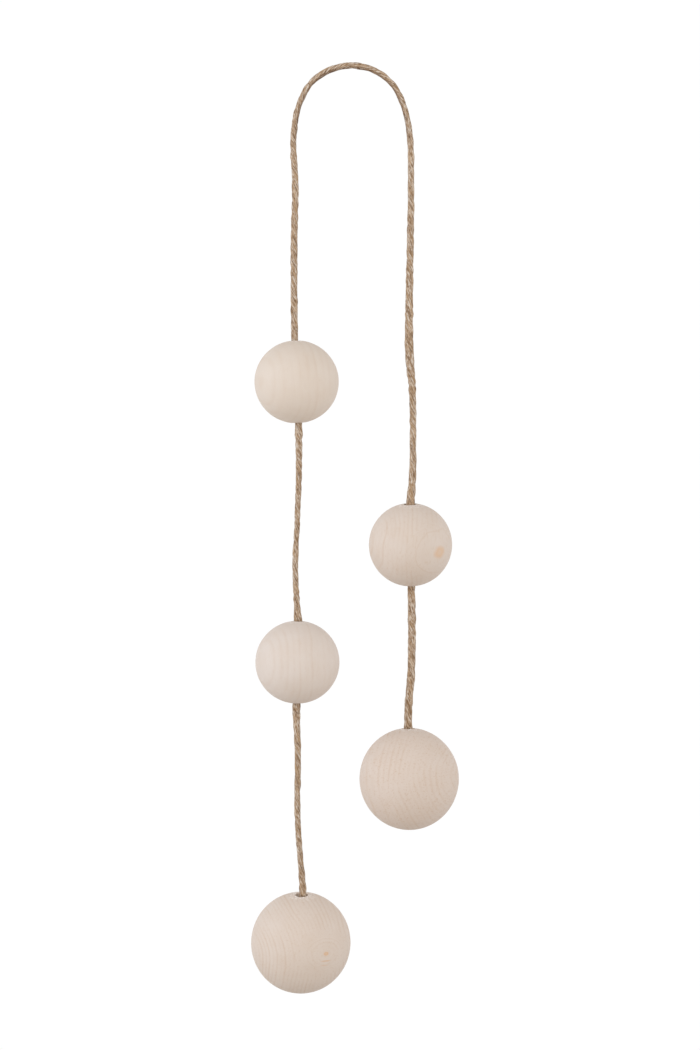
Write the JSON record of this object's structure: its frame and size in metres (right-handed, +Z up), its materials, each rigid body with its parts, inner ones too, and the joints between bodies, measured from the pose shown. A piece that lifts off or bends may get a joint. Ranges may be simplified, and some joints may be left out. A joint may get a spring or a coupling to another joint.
{
  "type": "wooden ball ornament on a twisted cord",
  "caption": "Hanging ornament of bare turned wooden balls, small and large, threaded at staggered heights on one twisted plant-fibre cord with a loop at the top.",
  "frame": {"origin": "inside the top of the hanging loop, on the cord's underside, where a peg or hook carries it", "axes": "+Z up as it hangs, +X to the right seen from the front, the front faces -Y"},
  "size_m": [0.1257, 0.0631, 0.5636],
  "materials": {
    "pale_wood": "bare turned wood, fine sanded, no varnish",
    "plant_fibre": "matt plant fibre, twisted in three plies"
  },
  "bodies": {
    "root": {"ball_left_top": "pale_wood", "ball_left_middle": "pale_wood", "ball_left_end": "pale_wood", "ball_right_middle": "pale_wood", "ball_right_end": "pale_wood", "cord": "plant_fibre"}
  },
  "joints": []
}
